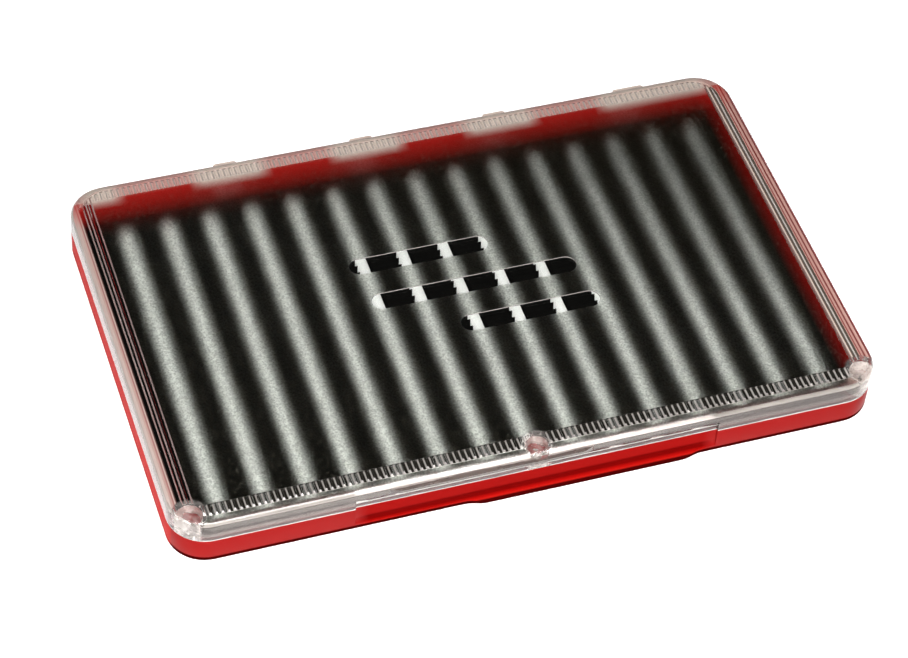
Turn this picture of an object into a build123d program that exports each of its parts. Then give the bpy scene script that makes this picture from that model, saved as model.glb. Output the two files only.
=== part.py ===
from build123d import *
import os
from math import radians, sqrt, tan

# Slim fly box: a shallow tray with slit-foam ribs, a clear lid on four pin hinges,
# and three press catches along the front.
# Millimetres.  Origin at the middle of the flat underside, +X along the box,
# +Y towards the hinges, +Z up.  The box is modelled closed.

# ---- overall ----
LENGTH = 186.0
DEPTH = 117.5
HEIGHT = 14.5
CORNER_R = 9.8
PARTING_Z = 7.9
PARTING_GAP = 0.1

# ---- tray ----
TRAY_WALL = 2.4
TRAY_FLOOR = 1.4
TRAY_EDGE_R = 0.6
FOOT_INSET = 0.9
FOOT_RISE = 0.4
COLLAR_WALL = 0.9
COLLAR_RISE = 3.2
COLLAR_LID_GAP = 0.25
COLLAR_POST_GAP = 1.2

# ---- lid ----
LID_TOP = 1.3
LID_EDGE_R = 1.5
LID_INNER_R = 0.4
LID_FRONT_WALL = 1.85

# ---- front recess and the two staggered opening lips ----
RECESS_HALF = 47.7
RECESS_DEPTH = 0.6
LIP_REACH = 1.1
LIP_NEAR_END = 19.5
LIP_FAR_END = 44.5
LIP_BLEND = 6.4
COVE_R = 3.0
TRAY_LIP_THICK = 1.5
LID_LIP_THICK = 2.3
LID_LIP_RUN = 4.1
LID_LIP_BLEND = 9.0
LID_LIP_SLOPE = 20.0

# ---- press catches ----
CORNER_POST_R = 3.3
CORNER_POST_INSET = 4.6
CENTRE_POST_R = 2.9
CENTRE_POST_INSET = 3.4
CATCH_PIN_R = 0.9
CATCH_PIN_LENGTH = 2.2
CATCH_FIT = 0.12
CATCH_END_GAP = 0.4

# ---- hinges ----
HINGE_LEFT_INSET = 44.2
HINGE_RIGHT_INSET = 27.8
HINGE_TAB_WIDTHS = (6.4, 6.4, 6.4, 8.9)
HINGE_NOTCH = 19.6
HINGE_EAR = 2.6
HINGE_AXIS_OUT = 0.15
BARREL_R = 1.3
PIN_R = 0.6
PIN_RUNNING_GAP = 0.05
HINGE_SIDE_GAP = 0.3
HINGE_TURN_GAP = 0.3
TAB_TOP_DROP = 1.6
TAB_CORNER_R = 0.8

# ---- foam ----
FOAM_THICK = 2.6
FOAM_END_GAP = 6.4
FOAM_SIDE_GAP = 1.1
FOAM_CORNER_R = 3.2
FOAM_SHIFT_X = 0.9
RIB_COUNT = 16
RIB_WIDTH = 7.4
RIB_HEIGHT = 3.0

# ---- worked out from the sizes above ----
FRONT_Y = -DEPTH / 2
BACK_Y = DEPTH / 2
LID_Z = PARTING_Z + PARTING_GAP
LID_UNDER_Z = HEIGHT - LID_TOP
LID_WALL = TRAY_WALL - COLLAR_WALL - COLLAR_LID_GAP
AXIS_Y = BACK_Y + HINGE_AXIS_OUT
AXIS_Z = PARTING_Z
RECESS_Y = FRONT_Y + RECESS_DEPTH
LIP_Y = FRONT_Y - LIP_REACH
TAB_TOP_Z = HEIGHT - TAB_TOP_DROP
NOTCH_FLOOR_Z = AXIS_Z - BARREL_R - HINGE_TURN_GAP
HINGE_PITCH = (LENGTH - HINGE_LEFT_INSET - HINGE_RIGHT_INSET) / (len(HINGE_TAB_WIDTHS) - 1)
FOAM_LENGTH = LENGTH - 2 * (TRAY_WALL + FOAM_SIDE_GAP)
FOAM_DEPTH = DEPTH - 2 * (TRAY_WALL + FOAM_END_GAP)
RIB_PITCH = (FOAM_LENGTH - RIB_WIDTH) / (RIB_COUNT - 1)
RIB_Z = TRAY_FLOOR + FOAM_THICK
THROUGH = 5.0


def slab(length, depth, radius, z0, z1, x=0.0):
    """An upright slab with rounded corners."""
    return extrude(Pos(x, 0, z0) * RectangleRounded(length, depth, radius), z1 - z0)


def block(x0, x1, y0, y1, z0, z1):
    """A box given by its lowest and highest corners."""
    centre = Pos((x0 + x1) / 2, (y0 + y1) / 2, (z0 + z1) / 2)
    return centre * Box(x1 - x0, y1 - y0, z1 - z0)


def x_cylinder(radius, x0, x1, y, z):
    """A cylinder lying along X."""
    return Pos((x0 + x1) / 2, y, z) * Rot(0, 90, 0) * Cylinder(radius, x1 - x0)


def post(radius, x, y, z0, z1):
    """An upright cylinder."""
    return Pos(x, y, (z0 + z1) / 2) * Cylinder(radius, z1 - z0)


def lip_face(x_left, x_right, y_root, y_back, blend):
    """Plan of an opening lip: straight at LIP_Y, with an S-shaped blend at each end."""
    drop = y_root - LIP_Y
    bend = (blend**2 + drop**2) / (4 * drop)
    mid_y = (y_root + LIP_Y) / 2
    outline = [
        RadiusArc((x_left, y_root), (x_left + blend / 2, mid_y), bend),
        RadiusArc((x_left + blend / 2, mid_y), (x_left + blend, LIP_Y), -bend),
        Line((x_left + blend, LIP_Y), (x_right - blend, LIP_Y)),
        RadiusArc((x_right - blend, LIP_Y), (x_right - blend / 2, mid_y), -bend),
        RadiusArc((x_right - blend / 2, mid_y), (x_right, y_root), bend),
        Polyline((x_right, y_root), (x_right, y_back), (x_left, y_back), (x_left, y_root)),
    ]
    return make_face(Curve() + outline)


def recess_cutter(lip_top, flip):
    """The long thumb recess: a flat back that sweeps out over a lip as a cove.

    lip_top is the height of the lip's root over the face it starts from; flip turns
    the cutter over, so that it hangs from the lid's top instead.
    """
    reach = RECESS_Y - LIP_Y
    cove_z = lip_top + sqrt(COVE_R**2 - (COVE_R - reach) ** 2)
    far_y = RECESS_Y - 2 * COVE_R
    profile = make_face(
        Curve()
        + [
            CenterArc((RECESS_Y - COVE_R, cove_z), COVE_R, 270, 90),
            Line((RECESS_Y, cove_z), (RECESS_Y, HEIGHT)),
            Polyline(
                (RECESS_Y, HEIGHT),
                (far_y, HEIGHT),
                (far_y, cove_z - COVE_R),
                (RECESS_Y - COVE_R, cove_z - COVE_R),
            ),
        ]
    )
    cutter = extrude(Plane.YZ.offset(-RECESS_HALF) * profile, 2 * RECESS_HALF)
    if flip:
        cutter = Pos(0, 0, HEIGHT) * mirror(cutter, about=Plane.XY)
    return cutter


def catch_places():
    """(post radius, x, y) of the three press catches."""
    corner_x = LENGTH / 2 - CORNER_POST_INSET
    corner_y = FRONT_Y + CORNER_POST_INSET
    return [
        (CORNER_POST_R, -corner_x, corner_y),
        (CENTRE_POST_R, 0.0, FRONT_Y + CENTRE_POST_INSET),
        (CORNER_POST_R, corner_x, corner_y),
    ]


def hinge_places():
    """(x of the hinge's middle, width of its tab) of the four hinges."""
    first_x = HINGE_LEFT_INSET - LENGTH / 2
    narrow = min(HINGE_TAB_WIDTHS)
    return [
        (first_x + i * HINGE_PITCH + (width - narrow) / 2, width)
        for i, width in enumerate(HINGE_TAB_WIDTHS)
    ]


def tray_outline():
    """Outside of the tray with its foot and its lip, before the recess is cut."""
    plan = RectangleRounded(LENGTH, DEPTH, CORNER_R)
    plan += lip_face(-LIP_NEAR_END, LIP_FAR_END, FRONT_Y, FRONT_Y + CORNER_R, LIP_BLEND)
    solid = extrude(Pos(0, 0, FOOT_RISE) * plan, PARTING_Z - FOOT_RISE)
    solid = fillet(solid.faces().sort_by(Axis.Z)[0].edges(), TRAY_EDGE_R)
    foot_length = LENGTH - 2 * FOOT_INSET
    foot_depth = DEPTH - 2 * FOOT_INSET
    return solid + slab(foot_length, foot_depth, CORNER_R - FOOT_INSET, 0, FOOT_RISE)


def tray_collar():
    """Thin wall that stands inside the lid along the left, back and right."""
    outer = TRAY_WALL - COLLAR_WALL
    top = PARTING_Z + COLLAR_RISE
    ring = slab(LENGTH - 2 * outer, DEPTH - 2 * outer, CORNER_R - outer, TRAY_FLOOR, top)
    ring -= slab(
        LENGTH - 2 * TRAY_WALL, DEPTH - 2 * TRAY_WALL, CORNER_R - TRAY_WALL, TRAY_FLOOR, top
    )
    open_y = FRONT_Y + CORNER_POST_INSET + CORNER_POST_R + COLLAR_POST_GAP
    return ring - block(-LENGTH, LENGTH, FRONT_Y - THROUGH, open_y, PARTING_Z, top + THROUGH)


def hinge_ears(x):
    """The two ears that hold one hinge's pin."""
    ears = []
    for side in (-1, 1):
        near = x + side * HINGE_NOTCH / 2
        far = near + side * HINGE_EAR
        x0, x1 = min(near, far), max(near, far)
        ear = x_cylinder(BARREL_R, x0, x1, AXIS_Y, AXIS_Z)
        ear += block(x0, x1, AXIS_Y - BARREL_R, AXIS_Y, AXIS_Z - BARREL_R, AXIS_Z + BARREL_R)
        ears.append(ear)
    return ears


def base_tray():
    outline = tray_outline()
    inner_length = LENGTH - 2 * TRAY_WALL
    inner_depth = DEPTH - 2 * TRAY_WALL
    tray = outline - slab(inner_length, inner_depth, CORNER_R - TRAY_WALL, TRAY_FLOOR, HEIGHT)
    tray += tray_collar()
    for radius, x, y in catch_places():
        tray += post(radius, x, y, TRAY_FLOOR / 2, PARTING_Z) & outline
    tray -= recess_cutter(TRAY_LIP_THICK, flip=False)
    for _, x, y in catch_places():
        depth = CATCH_PIN_LENGTH + CATCH_END_GAP
        tray -= post(CATCH_PIN_R + CATCH_FIT, x, y, PARTING_Z - depth, PARTING_Z + THROUGH)
    pocket_y = AXIS_Y - BARREL_R - HINGE_TURN_GAP
    pocket_z = 2 * AXIS_Z - TAB_TOP_Z - HINGE_TURN_GAP
    for x, width in hinge_places():
        half = HINGE_NOTCH / 2
        inner_y = BACK_Y - TRAY_WALL - COLLAR_LID_GAP
        tray -= block(x - half, x + half, inner_y, BACK_Y + THROUGH, NOTCH_FLOOR_Z, HEIGHT)
        half = width / 2 + HINGE_SIDE_GAP
        tray -= block(x - half, x + half, pocket_y, BACK_Y + THROUGH, pocket_z, HEIGHT)
        for ear in hinge_ears(x):
            tray += ear
        reach = HINGE_NOTCH / 2 + HINGE_EAR + THROUGH
        tray -= x_cylinder(PIN_R, x - reach, x + reach, AXIS_Y, AXIS_Z)
    return tray


def lid_outline():
    """Outside of the lid with its lip, before the recess is cut."""
    shell = slab(LENGTH, DEPTH, CORNER_R, LID_Z, HEIGHT)
    shell = fillet(shell.faces().sort_by(Axis.Z)[-1].edges(), LID_EDGE_R)
    root_y = LIP_Y + LID_LIP_RUN
    plan = lip_face(-LIP_FAR_END, LIP_NEAR_END, root_y, root_y + THROUGH, LID_LIP_BLEND)
    lip = extrude(Pos(0, 0, LID_Z) * plan, HEIGHT - LID_Z)
    fall = LID_LIP_RUN * tan(radians(LID_LIP_SLOPE))
    above = make_face(
        Polyline((root_y, HEIGHT), (LIP_Y, HEIGHT - fall), (LIP_Y, HEIGHT), (root_y, HEIGHT))
    )
    lip -= extrude(Plane.YZ.offset(-LENGTH / 2) * above, LENGTH)
    return shell + lip


def hinge_half(x, width):
    """Barrel and tab of the lid's side of one hinge."""
    half = HINGE_NOTCH / 2 - HINGE_SIDE_GAP
    barrel = x_cylinder(BARREL_R, x - half, x + half, AXIS_Y, AXIS_Z)
    tab = block(
        x - width / 2, x + width / 2, BACK_Y - LID_WALL, AXIS_Y + BARREL_R, AXIS_Z, TAB_TOP_Z
    )
    outer = tab.edges().filter_by(Axis.Z).group_by(Axis.Y)[-1]
    return barrel + fillet(outer, TAB_CORNER_R)


def lid():
    outline = lid_outline()
    hollow = slab(
        LENGTH - 2 * LID_WALL, DEPTH - 2 * LID_WALL, CORNER_R - LID_WALL, LID_Z, LID_UNDER_Z
    )
    hollow -= block(-LENGTH, LENGTH, FRONT_Y, FRONT_Y + LID_FRONT_WALL, LID_Z, LID_UNDER_Z)
    hollow = fillet(hollow.faces().sort_by(Axis.Z)[-1].edges(), LID_INNER_R)
    shell = outline - hollow
    for radius, x, y in catch_places():
        shell += post(radius, x, y, LID_Z, LID_UNDER_Z + LID_TOP / 2) & outline
    shell -= recess_cutter(LID_LIP_THICK, flip=True)
    for _, x, y in catch_places():
        shell += post(CATCH_PIN_R, x, y, LID_Z - CATCH_PIN_LENGTH, LID_Z + LID_TOP)
    for x, width in hinge_places():
        for side in (-1, 1):
            near = x + side * (HINGE_NOTCH / 2 - HINGE_SIDE_GAP)
            far = x + side * (HINGE_NOTCH / 2 + HINGE_EAR + HINGE_SIDE_GAP)
            x0, x1 = min(near, far), max(near, far)
            notch_top = AXIS_Z + BARREL_R + HINGE_TURN_GAP
            wall_y = BACK_Y - LID_WALL - COLLAR_LID_GAP
            shell -= block(x0, x1, wall_y, BACK_Y + THROUGH, LID_Z - THROUGH, notch_top)
        shell += hinge_half(x, width)
        reach = HINGE_NOTCH / 2
        hole_r = PIN_R + PIN_RUNNING_GAP
        shell -= x_cylinder(hole_r, x - reach, x + reach, AXIS_Y, AXIS_Z)
    return shell


def hinge_pin(x):
    reach = HINGE_NOTCH / 2 + HINGE_EAR
    return x_cylinder(PIN_R, x - reach, x + reach, AXIS_Y, AXIS_Z)


def foam_outline(z0, z1):
    """The foam's plan between two heights."""
    return slab(FOAM_LENGTH, FOAM_DEPTH, FOAM_CORNER_R, z0, z1, FOAM_SHIFT_X)


def foam_sheet():
    return foam_outline(TRAY_FLOOR, RIB_Z)


def foam_rib(index):
    top = RIB_Z + RIB_HEIGHT
    x0 = FOAM_SHIFT_X - FOAM_LENGTH / 2 + index * RIB_PITCH
    return foam_outline(RIB_Z, top) & block(x0, x0 + RIB_WIDTH, -DEPTH, DEPTH, RIB_Z, top)


def build():
    nodes = {"base_tray": base_tray(), "lid": lid(), "foam_sheet": foam_sheet()}
    for i in range(RIB_COUNT):
        nodes[f"foam_rib_{i + 1:02d}"] = foam_rib(i)
    for i, (x, _) in enumerate(hinge_places()):
        nodes[f"hinge_pin_{i + 1}"] = hinge_pin(x)
    return nodes


os.makedirs("parts", exist_ok=True)
for name, shape in build().items():
    export_step(shape, f"parts/{name}.step")
    print(f"{name}: {len(shape.solids())} solid, {shape.volume:.1f} mm3")
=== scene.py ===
# %% [markdown]
# # A slim fly box
# The box is a shallow red tray with a clear lid.  Black ribs of slit foam on a white foam
# sheet hold the flies.  The top of the lid is frosted, with a clear, finely ribbed border
# around it and a few polished windows.  The box could be modelled again here by eye, but the
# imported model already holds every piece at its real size, so this lesson loads it, adds the
# detail that the eye looks for, and finishes the surfaces.

# %% Load the frame
from math import radians

import bmesh
import bpy
from mathutils import Matrix, Vector


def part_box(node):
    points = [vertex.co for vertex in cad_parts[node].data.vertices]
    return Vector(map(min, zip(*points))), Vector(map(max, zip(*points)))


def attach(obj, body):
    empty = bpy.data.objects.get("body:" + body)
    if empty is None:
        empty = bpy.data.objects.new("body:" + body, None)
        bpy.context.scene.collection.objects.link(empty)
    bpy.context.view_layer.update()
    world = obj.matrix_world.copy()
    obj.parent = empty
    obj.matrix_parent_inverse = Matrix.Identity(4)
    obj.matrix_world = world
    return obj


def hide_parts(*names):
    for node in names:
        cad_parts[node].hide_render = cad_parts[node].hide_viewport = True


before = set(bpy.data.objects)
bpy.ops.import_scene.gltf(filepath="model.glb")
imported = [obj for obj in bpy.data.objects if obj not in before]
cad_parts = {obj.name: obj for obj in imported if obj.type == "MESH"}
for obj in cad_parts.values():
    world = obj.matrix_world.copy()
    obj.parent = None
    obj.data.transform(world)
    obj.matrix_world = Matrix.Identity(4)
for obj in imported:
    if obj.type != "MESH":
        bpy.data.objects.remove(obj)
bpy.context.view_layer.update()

MM = 0.001
HAIR = 0.001 * MM

# %% [markdown]
# ## A few hand tools
# Modelling by operator means saying what is selected before each step.  The frame arrives
# with its nodes selected, and a new primitive is selected all over, so every tool below first
# clears the selection and then works on one piece.  Faces and edges are picked by a test on
# their place or normal, because their numbers change with every cut.


# %% Selecting
def work_on(piece):
    """Makes one piece the only selected object."""
    if bpy.context.object and bpy.context.object.mode != "OBJECT":
        bpy.ops.object.mode_set(mode="OBJECT")
    bpy.ops.object.select_all(action="DESELECT")
    piece.select_set(True)
    bpy.context.view_layer.objects.active = piece
    return piece


def select(piece, kind, wanted):
    """Enters edit mode with only the VERTs, EDGEs or FACEs selected that wanted is true for."""
    work_on(piece)
    bpy.ops.object.mode_set(mode="EDIT")
    bpy.ops.mesh.select_mode(type=kind)
    bpy.ops.mesh.select_all(action="DESELECT")
    mesh = bmesh.from_edit_mesh(piece.data)
    parts = {"VERT": mesh.verts, "EDGE": mesh.edges, "FACE": mesh.faces}[kind]
    for part in parts:
        part.select = bool(wanted(part))
    bmesh.update_edit_mesh(piece.data)
    return sum(part.select for part in parts)


def leave_edit_mode():
    bpy.ops.object.mode_set(mode="OBJECT")


def lies_at(height):
    """A test for the edges of a piece's flat top."""
    return lambda edge: all(v.co.z > height - HAIR for v in edge.verts)


# %% Modifiers and cuts
def finish_with(piece, kind, **settings):
    """Adds one modifier with its settings and applies it."""
    work_on(piece)
    modifier = piece.modifiers.new(kind.title(), kind)
    for key, value in settings.items():
        setattr(modifier, key, value)
    bpy.ops.object.modifier_apply(modifier=modifier.name)
    return piece


def repeat(piece, count, step):
    """Repeats a piece in a row, one step apart."""
    return finish_with(
        piece, "ARRAY", count=count, use_relative_offset=False,
        use_constant_offset=True, constant_offset_displace=step,
    )


def combine(piece, tool, operation):
    """Cuts, joins or keeps the overlap of a piece with a tool, and throws the tool away."""
    finish_with(piece, "BOOLEAN", object=tool, operation=operation, solver="EXACT")
    bpy.data.objects.remove(tool)
    return piece


# %% Boxes with round corners
def box_piece(name, low, high):
    """A box from its lowest to its highest corner, with its origin at the frame's."""
    low, high = Vector(low), Vector(high)
    bpy.ops.mesh.primitive_cube_add(size=1.0, location=(low + high) / 2)
    piece = bpy.context.object
    piece.name = name
    piece.scale = high - low
    bpy.ops.object.transform_apply(location=True, rotation=True, scale=True)
    return piece


def upright(edge):
    a, b = (v.co for v in edge.verts)
    return abs(a.z - b.z) > 0.9 * (a - b).length


def round_corners(piece, radius, steps=12):
    """Rounds a box's four upright edges."""
    select(piece, "EDGE", upright)
    bpy.ops.mesh.bevel(offset=radius, segments=steps, affect="EDGES")
    leave_edit_mode()
    return piece


# %% Copies of nodes
WELD = 0.0005 * MM
FLAT_ENOUGH = radians(0.4)


def copy_of_node(node, name):
    """A merged copy of a node's mesh, to be detailed and shown in the node's place."""
    piece = bpy.data.objects.new(name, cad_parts[node].data.copy())
    bpy.context.scene.collection.objects.link(piece)
    work_on(piece)
    bpy.ops.object.mode_set(mode="EDIT")
    bpy.ops.mesh.select_all(action="SELECT")
    bpy.ops.mesh.remove_doubles(threshold=WELD)
    bpy.ops.mesh.dissolve_limited(angle_limit=FLAT_ENOUGH)
    leave_edit_mode()
    bpy.ops.mesh.customdata_custom_splitnormals_clear()
    piece.data.materials.clear()
    return piece


def open_edges(piece):
    """How many edges don't lie between exactly two faces."""
    mesh = bmesh.new()
    mesh.from_mesh(piece.data)
    count = sum(not edge.is_manifold for edge in mesh.edges)
    mesh.free()
    return count


# %% [markdown]
# ## Sizes
# The overall sizes could be typed in, but they are read from the frame, so that they can't
# disagree with it.  The lid's top is a plain plate there, so its moulded pattern is measured
# in from the outside walls: first a clear border, then the frosted field.

# %% The lid's layout
lid_low, lid_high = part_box("lid")
LIP_REACH = 1.1 * MM
HALF_X = (lid_high.x - lid_low.x) / 2
HALF_Y = -lid_low.y - LIP_REACH
TOP_Z = lid_high.z
CORNER_R = 9.8 * MM
print("lid top at", round(TOP_Z / MM, 2), "mm, half sizes", round(HALF_X / MM, 2), round(HALF_Y / MM, 2))

# %% The border and the frosted field
FROST_INSET = 6.4 * MM
FROST_INSET_BACK = 5.3 * MM
FROST_CORNER_R = 0.8 * MM
BORDER_INSET_SIDE = 3.5 * MM
BORDER_INSET_END = 2.7 * MM
BORDER_INSET_BACK = 1.75 * MM
BORDER_DEPTH = 0.42 * MM
border_half = Vector((HALF_X - BORDER_INSET_SIDE, HALF_Y - BORDER_INSET_END))
border_back = HALF_Y - BORDER_INSET_BACK
border_z = TOP_Z - BORDER_DEPTH
field_half = Vector((HALF_X - FROST_INSET, HALF_Y - FROST_INSET))
field_back = HALF_Y - FROST_INSET_BACK
print("frosted field in mm:", round(2 * field_half.x / MM, 1), round((field_half.y + field_back) / MM, 1))

# %% [markdown]
# ## The lid
# The lid is one clear moulding, so it must stay one closed mesh: light bends where it enters
# and leaves it.  A pattern of bumps in the material would be less work, but it wouldn't bend
# what lies behind it.  So a merged copy of the node is cut with tools modelled for the job.
# The border is a shallow ring cut into the top, and it is left full of fine ridges, all
# parallel, with sloping ends that catch the light as small triangles.  One ridge is modelled
# and repeated, and a block with sloping sides trims all of them at once.


# %% The ridges
RIDGE_PITCH = 1.526 * MM
RIDGE_FOOT = 1.0 * MM
RIDGE_CREST = 0.32 * MM
RIDGE_SHIFT = 0.56 * MM
RIDGE_END_FLAT = 0.1 * MM
RIDGE_END_RUN = 0.8 * MM
SPARE = 1 * MM


def ridge_row():
    """Ridges from end to end of the lid, each narrower at its crest."""
    count = int(2 * HALF_X / RIDGE_PITCH)
    first_x = RIDGE_SHIFT - count // 2 * RIDGE_PITCH
    low = (first_x - RIDGE_FOOT / 2, -HALF_Y, border_z)
    ridges = box_piece("ridges", low, (first_x + RIDGE_FOOT / 2, HALF_Y, TOP_Z))
    select(ridges, "FACE", lambda f: f.normal.z > 0.9)
    narrower = (RIDGE_CREST / RIDGE_FOOT, 1, 1)
    bpy.ops.transform.resize(value=narrower, center_override=(first_x, 0, TOP_Z))
    leave_edit_mode()
    return repeat(ridges, count, (RIDGE_PITCH, 0, 0))


def ridge_block():
    """The ridges of the border, with ends that slope down all round the outline."""
    ridges = ridge_row()
    ends = border_half - Vector((RIDGE_END_FLAT, RIDGE_END_FLAT))
    far_y = border_back - RIDGE_END_FLAT
    shell = box_piece("ridge_ends", (-ends.x, -ends.y, border_z - SPARE), (ends.x, far_y, border_z))
    round_corners(shell, CORNER_R - BORDER_INSET_END)
    select(shell, "FACE", lambda f: f.normal.z > 0.9)
    bpy.ops.mesh.inset(thickness=RIDGE_END_RUN)
    bpy.ops.transform.translate(value=(0, 0, BORDER_DEPTH + 0.01 * MM))
    leave_edit_mode()
    combine(ridges, shell, "INTERSECT")
    high = (field_half.x, field_back, TOP_Z + SPARE)
    combine(ridges, box_piece("ridge_middle", (*-field_half, border_z - SPARE), high), "DIFFERENCE")
    print("faces of the ridges:", len(ridges.data.polygons))
    return ridges


# %% The cutter for the border
CLEAR_ABOVE = 2.0 * MM
POST_DIP = 0.05 * MM
POSTS = [
    # middle x, middle y, radius
    (-HALF_X + 4.6 * MM, -HALF_Y + 4.6 * MM, 3.3 * MM),
    (HALF_X - 4.6 * MM, -HALF_Y + 4.6 * MM, 3.3 * MM),
    (0.0, -HALF_Y + 3.4 * MM, 2.9 * MM),
]


def post_plug(radius, x, y, low_z, high_z):
    """An upright cylinder over a catch post."""
    middle = (x, y, (low_z + high_z) / 2)
    bpy.ops.mesh.primitive_cylinder_add(vertices=48, radius=radius, depth=high_z - low_z, location=middle)
    plug = bpy.context.object
    bpy.ops.object.transform_apply(location=True)
    return plug


def border_cutter():
    """What is cut out of the lid's top: a ring, less the ridges and the frosted field."""
    top = TOP_Z + CLEAR_ABOVE
    ring = box_piece("border_cutter", (*-border_half, border_z), (border_half.x, border_back, top))
    round_corners(ring, CORNER_R - BORDER_INSET_END)
    high = (field_half.x, field_back, top + CLEAR_ABOVE)
    plateau = box_piece("plateau", (*-field_half, border_z - CLEAR_ABOVE), high)
    round_corners(plateau, FROST_CORNER_R, 4)
    combine(ring, plateau, "DIFFERENCE")
    combine(ring, ridge_block(), "DIFFERENCE")
    for x, y, radius in POSTS:
        combine(ring, post_plug(radius, x, y, border_z - SPARE, TOP_Z - POST_DIP), "DIFFERENCE")
    return ring


# %% Cut the border
lid = copy_of_node("lid", "lid_moulding")
print("lid copy:", len(lid.data.polygons), "faces")
combine(lid, border_cutter(), "DIFFERENCE")
print("lid with its border:", len(lid.data.polygons), "faces, open edges:", open_edges(lid))

# %% [markdown]
# ### The windows
# The windows are polished areas in the frosted field, a hair lower than it, so their rims
# catch a thin line of light.  They are three plain rounded slots, staggered, through which
# the foam shows sharp.  A mask in the material could polish them too, but only a real step
# gives the rim its light.  Each cutter is a box with rounded corners, and its bottom face is
# made smaller, so that the rim slopes.

# %% The polished windows
WINDOW_WIDTH = 5.6 * MM
WINDOW_DEPTH = 0.20 * MM
WINDOW_SLOPE = 0.16 * MM
WINDOWS = [
    # middle x, middle y, length
    (-9.0 * MM, 13.0 * MM, 38.0 * MM),
    (2.0 * MM, 0.0 * MM, 56.0 * MM),
    (13.0 * MM, -13.0 * MM, 38.0 * MM),
]
for x, y, length in WINDOWS:
    slot = box_piece(
        "window_cutter",
        (x - length / 2, y - WINDOW_WIDTH / 2, TOP_Z - WINDOW_DEPTH),
        (x + length / 2, y + WINDOW_WIDTH / 2, TOP_Z + WINDOW_DEPTH),
    )
    round_corners(slot, WINDOW_WIDTH / 2 * 0.999, 16)
    select(slot, "FACE", lambda f: f.normal.z < -0.9)
    narrower = Vector((1 - 2 * WINDOW_SLOPE / length, 1 - 2 * WINDOW_SLOPE / WINDOW_WIDTH, 1))
    bpy.ops.transform.resize(value=narrower, center_override=(x, y, TOP_Z - WINDOW_DEPTH))
    leave_edit_mode()
    combine(lid, slot, "DIFFERENCE")
print("windows:", len(WINDOWS), "lid faces:", len(lid.data.polygons), "open edges:", open_edges(lid))

# %% [markdown]
# ## The tray
# The tray's shape is right as it is.  What it lacks is the small radius that every moulded
# edge has, which draws a fine highlight along it.  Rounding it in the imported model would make
# that heavy, so a merged copy gets a bevel modifier on its sharp edges here.

# %% The tray's edges
TRAY_EDGE = 0.12 * MM
tray = copy_of_node("base_tray", "tray_moulding")
finish_with(
    tray, "BEVEL", width=TRAY_EDGE, segments=2, limit_method="ANGLE",
    angle_limit=radians(40), use_clamp_overlap=True, harden_normals=False,
)
for piece in (tray, lid):
    work_on(piece)
    bpy.ops.object.shade_smooth_by_angle(angle=radians(28))
print("tray faces:", len(tray.data.polygons))

# %% [markdown]
# ## The foam
# Each black rib is a row of leaves, parted by slits from a knife, so that a hook slides in
# between two of them.  The knife leaves the right end of each leaf a little skewed, which
# gives the rib its ragged edge.  The slits could be cut into a bar one by one, but it is
# quicker to model one leaf and repeat it along the rib.  Then each rib gets its own small
# unevenness, because no two are cut alike.

# %% One rib of leaves
LEAF_PITCH = 2.3 * MM
SLIT = 0.09 * MM
LEAF_SKEW = 0.75 * MM
LEAF_EDGE = 0.10 * MM
LEAF_FOOT = 0.6 * MM
LEAF_UNEVEN = 0.045 * MM


def foam_leaf(name, low, high, pitch):
    """One leaf at the front end of a rib, with a skewed right end and soft top edges."""
    leaf = box_piece(name, low, (high.x - LEAF_SKEW / 2, low.y + pitch - SLIT, high.z))
    middle_x = (low.x + high.x) / 2
    middle_y = low.y + pitch / 2
    select(leaf, "VERT", lambda v: v.co.x > middle_x and v.co.y > middle_y)
    bpy.ops.transform.translate(value=(LEAF_SKEW, 0, 0))
    leave_edit_mode()
    select(leaf, "EDGE", lies_at(high.z))
    bpy.ops.mesh.bevel(offset=LEAF_EDGE, segments=2, affect="EDGES")
    leave_edit_mode()
    return leaf


def foam_rib(node, index):
    """A row of leaves on a common foot, in the place of one plain rib."""
    low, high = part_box(node)
    depth = high.y - low.y
    count = round(depth / LEAF_PITCH)
    pitch = depth / count
    rib = foam_leaf(f"foam_leaves_{index:02d}", low, high, pitch)
    repeat(rib, count, (0, pitch, 0))
    work_on(rib)
    bpy.ops.object.mode_set(mode="EDIT")
    bpy.ops.mesh.select_all(action="SELECT")
    bpy.ops.transform.vertex_random(offset=LEAF_UNEVEN, seed=index)
    leave_edit_mode()
    box_piece("foot", low, (high.x - LEAF_SKEW, high.y, low.z + LEAF_FOOT))
    rib.select_set(True)
    bpy.context.view_layer.objects.active = rib
    bpy.ops.object.join()
    return rib


# %% All the ribs
rib_nodes = sorted(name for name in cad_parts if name.startswith("foam_rib"))
ribs = [foam_rib(node, i + 1) for i, node in enumerate(rib_nodes)]
print("ribs:", len(ribs), "faces in one:", len(ribs[0].data.polygons))

# %% [markdown]
# ### The backing sheet
# The white sheet is die cut, so its corners are round and its top edge is pressed a little
# soft.  The node's own mesh has neither, and a new box with two bevels is as quick as mending
# a copy.

# %% The sheet and its edges
SHEET_EDGE = 0.35 * MM
SHEET_CORNER_R = 3.2 * MM
sheet_low, sheet_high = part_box("foam_sheet")
sheet = round_corners(box_piece("foam_backing", sheet_low, sheet_high), SHEET_CORNER_R, 8)
select(sheet, "EDGE", lies_at(sheet_high.z))
bpy.ops.mesh.bevel(offset=SHEET_EDGE, segments=3, affect="EDGES")
leave_edit_mode()
for piece in (*ribs, sheet):
    work_on(piece)
    bpy.ops.object.shade_smooth_by_angle(angle=radians(30))
print("backing sheet faces:", len(sheet.data.polygons))

# %% [markdown]
# ## Shader maths
# A material is a small program.  It could be wired up node by node, but then the sums that it
# does are hard to read.  The two classes below let it be written as one: a wire carries a
# value, arithmetic on wires adds the Math nodes, and a bench adds any other node from its
# type, its settings and what goes into its sockets.


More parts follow.
